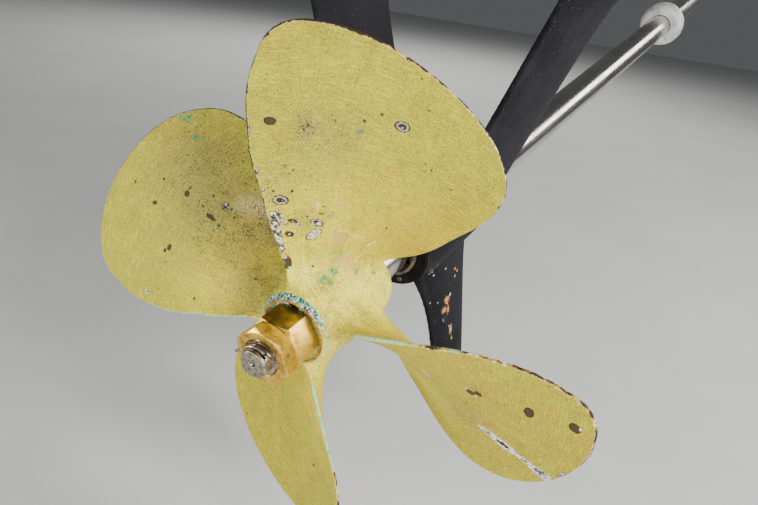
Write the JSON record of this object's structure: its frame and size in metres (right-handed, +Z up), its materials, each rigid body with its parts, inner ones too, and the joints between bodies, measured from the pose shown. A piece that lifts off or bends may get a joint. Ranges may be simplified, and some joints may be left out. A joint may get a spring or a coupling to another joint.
{
  "type": "boat propeller on its shaft in a V strut",
  "caption": "Bladed bronze boat propeller locked by two nuts on a tapered steel shaft that turns in a V strut with hull pads, a lower fin and a collar anode.",
  "frame": {"origin": "centre of the starboard pad's upper face, which lies against the hull", "axes": "+Z up, +Y forward, +X to starboard; the shaft climbs forward at 12 degrees"},
  "size_m": [0.609, 2.1119, 0.7502],
  "materials": {
    "blade_coating": "matte olive yellow coating with chips, specks and green patina at its edges",
    "bare_bronze": "machined bronze, rubbed bright and dulled in the corners",
    "stainless": "polished stainless steel",
    "zinc": "cast zinc with a whitish bloom",
    "bottom_paint": "matte black bottom paint over bronze, chipped to bright bronze in places",
    "bearing_rubber": "moulded black rubber with water grooves"
  },
  "bodies": {
    "strut": {"strut_casting": "bottom_paint", "bearing_shell": "bare_bronze", "bearing_lining": "bearing_rubber", "bearing_set_screw": "stainless", "bearing_face_screw": "stainless", "starboard_pad_bolt_1": "bare_bronze", "starboard_pad_bolt_2": "bare_bronze", "starboard_pad_bolt_3": "bare_bronze", "starboard_pad_bolt_4": "bare_bronze", "port_pad_bolt_1": "bare_bronze", "port_pad_bolt_2": "bare_bronze", "port_pad_bolt_3": "bare_bronze", "port_pad_bolt_4": "bare_bronze"},
    "rotor": {"propeller": "blade_coating", "propeller_shaft": "stainless", "shaft_key": "bare_bronze", "full_nut": "bare_bronze", "jam_nut": "bare_bronze", "cotter_pin": "stainless", "anode_upper_half": "zinc", "anode_lower_half": "zinc", "anode_screw_1": "stainless", "anode_screw_2": "stainless"}
  },
  "joints": [
    {"name": "shaft_turn", "type": "hinge", "parent": "strut", "child": "rotor", "pos_m": [-0.17248, 0, -0.34], "axis": [0, 0.9781, 0.2079], "continuous": true}
  ]
}
